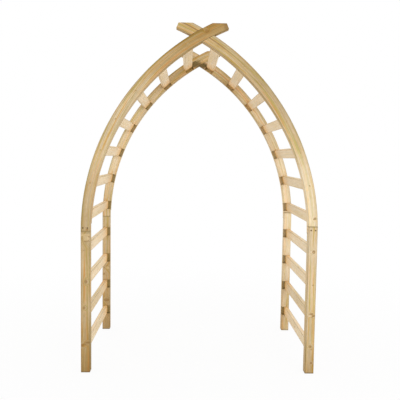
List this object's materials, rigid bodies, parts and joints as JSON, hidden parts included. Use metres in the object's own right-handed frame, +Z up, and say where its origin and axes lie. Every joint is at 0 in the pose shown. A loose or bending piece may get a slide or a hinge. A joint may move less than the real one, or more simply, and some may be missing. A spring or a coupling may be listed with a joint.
{
  "type": "wooden garden arch",
  "caption": "Gothic-pointed softwood garden arch: crossed curved rafters on square posts, two frames joined by flat slats.",
  "frame": {"origin": "on the ground, in the middle of the four feet", "axes": "+X across the walkway to the right, +Y along the walkway from the front frame to the rear one, +Z up"},
  "size_m": [1.5, 0.96, 2.2097],
  "materials": {
    "post_wood": "planed softwood, treated green-brown, matt",
    "rafter_wood": "planed curved softwood, treated, matt",
    "slat_wood": "pale planed softwood, matt",
    "screw_steel": "yellow-passivated, dull"
  },
  "bodies": {
    "root": {"front_left_post": "post_wood", "front_right_post": "post_wood", "rear_left_post": "post_wood", "rear_right_post": "post_wood", "front_left_rafter": "rafter_wood", "front_right_rafter": "rafter_wood", "rear_left_rafter": "rafter_wood", "rear_right_rafter": "rafter_wood", "left_slat_1": "slat_wood", "left_slat_2": "slat_wood", "left_slat_3": "slat_wood", "left_slat_4": "slat_wood", "left_slat_5": "slat_wood", "left_slat_6": "slat_wood", "left_slat_7": "slat_wood", "left_slat_8": "slat_wood", "left_slat_9": "slat_wood", "left_slat_10": "slat_wood", "left_slat_11": "slat_wood", "right_slat_1": "slat_wood", "right_slat_2": "slat_wood", "right_slat_3": "slat_wood", "right_slat_4": "slat_wood", "right_slat_5": "slat_wood", "right_slat_6": "slat_wood", "right_slat_7": "slat_wood", "right_slat_8": "slat_wood", "right_slat_9": "slat_wood", "right_slat_10": "slat_wood", "right_slat_11": "slat_wood", "front_left_slat_screws": "screw_steel", "front_right_slat_screws": "screw_steel", "rear_left_slat_screws": "screw_steel", "rear_right_slat_screws": "screw_steel", "front_lap_screws": "screw_steel", "rear_lap_screws": "screw_steel", "front_crossing_screws": "screw_steel", "rear_crossing_screws": "screw_steel"}
  },
  "joints": []
}
